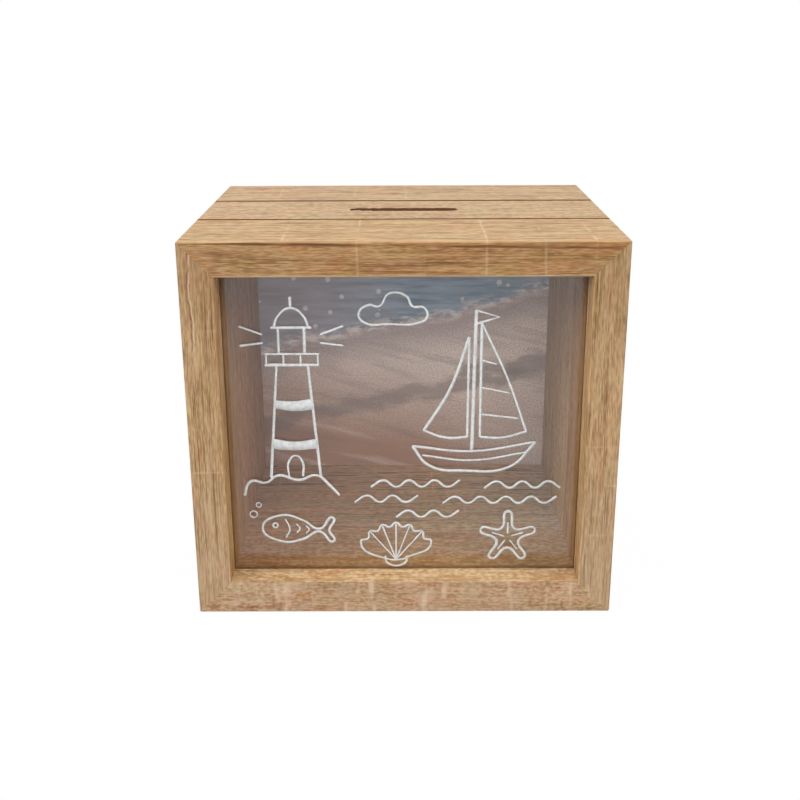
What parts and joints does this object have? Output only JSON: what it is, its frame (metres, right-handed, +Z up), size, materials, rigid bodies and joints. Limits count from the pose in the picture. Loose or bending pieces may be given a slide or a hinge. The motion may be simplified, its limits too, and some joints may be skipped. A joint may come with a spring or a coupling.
{
  "type": "money box",
  "caption": "Glass-fronted wooden money box of mitred oak-look frames, with a coin slot in its top and a lift-out back board held by turn buttons.",
  "frame": {"origin": "centre of the base, on the surface that the box stands on", "axes": "+X to the viewer's right across the front, +Y from the glass front to the back board, +Z up"},
  "size_m": [0.15, 0.1288, 0.137],
  "materials": {
    "oak_foil": "satin oak-look foil on fibreboard",
    "raw_board": "raw fibreboard",
    "print": "matt printed sheet",
    "glass": "clear",
    "button_steel": "zinc plated",
    "screw_steel": "zinc plated",
    "wedge_steel": "bare steel"
  },
  "bodies": {
    "case": {"front_top_rail": "oak_foil", "front_bottom_rail": "oak_foil", "front_left_stile": "oak_foil", "front_right_stile": "oak_foil", "middle_top_slat": "oak_foil", "middle_bottom_slat": "oak_foil", "middle_left_slat": "oak_foil", "middle_right_slat": "oak_foil", "rear_top_slat": "oak_foil", "rear_bottom_slat": "oak_foil", "rear_left_slat": "oak_foil", "rear_right_slat": "oak_foil", "front_corner_wedges": "wedge_steel", "middle_corner_wedges": "wedge_steel", "rear_corner_wedges": "wedge_steel", "glass_pane": "glass", "turn_button_screws": "screw_steel"},
    "back_panel": {"back_board": "raw_board", "back_print": "print"},
    "upper_left_button": {"upper_left_turn_button": "button_steel"},
    "upper_right_button": {"upper_right_turn_button": "button_steel"},
    "lower_left_button": {"lower_left_turn_button": "button_steel"},
    "lower_right_button": {"lower_right_turn_button": "button_steel"}
  },
  "joints": [
    {"name": "back_panel_lift", "type": "slide", "parent": "case", "child": "back_panel", "axis": [0, 1, 0], "range_m": [0, 0.08]},
    {"name": "upper_left_turn", "type": "hinge", "parent": "case", "child": "upper_left_button", "pos_m": [-0.071, 0.063, 0.0995], "axis": [0, -1, 0], "continuous": true},
    {"name": "upper_right_turn", "type": "hinge", "parent": "case", "child": "upper_right_button", "pos_m": [0.071, 0.063, 0.0995], "axis": [0, 1, 0], "continuous": true},
    {"name": "lower_left_turn", "type": "hinge", "parent": "case", "child": "lower_left_button", "pos_m": [-0.071, 0.063, 0.0375], "axis": [0, -1, 0], "continuous": true},
    {"name": "lower_right_turn", "type": "hinge", "parent": "case", "child": "lower_right_button", "pos_m": [0.071, 0.063, 0.0375], "axis": [0, 1, 0], "continuous": true}
  ]
}
